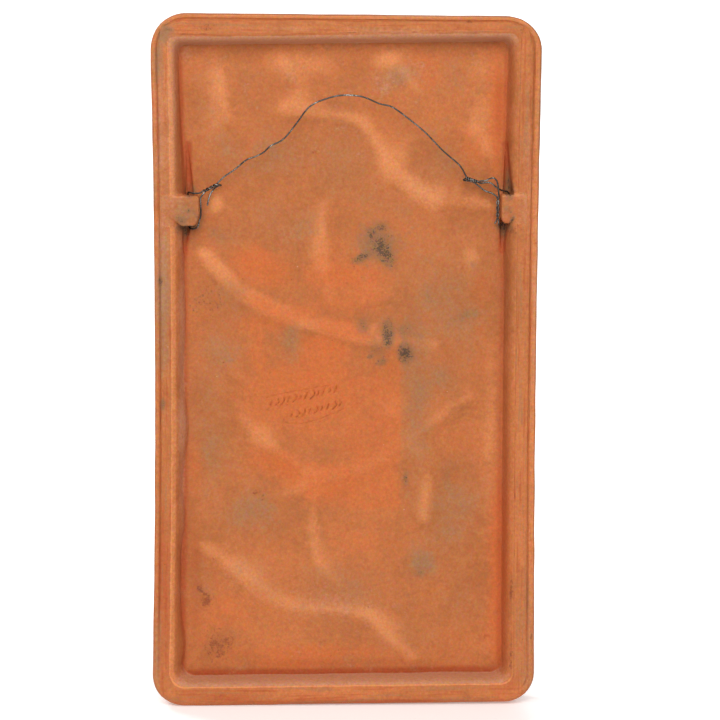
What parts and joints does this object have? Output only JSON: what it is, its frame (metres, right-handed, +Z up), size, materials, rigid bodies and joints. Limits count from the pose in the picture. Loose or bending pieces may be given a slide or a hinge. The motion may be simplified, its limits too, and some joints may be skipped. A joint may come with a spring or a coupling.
{
  "type": "decorative wall plaque",
  "caption": "Upright rectangular terracotta wall plaque with a hollow back, pierced lugs and a twisted iron wire to hang it by.",
  "frame": {"origin": "middle of the top land of the rim, on the flat back that bears on the wall", "axes": "+Z up the plaque, +Y from the plaque into the wall, -Y out of the decorated front"},
  "size_m": [0.1894, 0.024, 0.3409],
  "materials": {
    "terracotta": "unglazed, hand-pressed, matt",
    "iron_wire": "dark oxidised iron wire, worn bright in places"
  },
  "bodies": {
    "root": {"plaque": "terracotta", "hanging_wire": "iron_wire"}
  },
  "joints": []
}
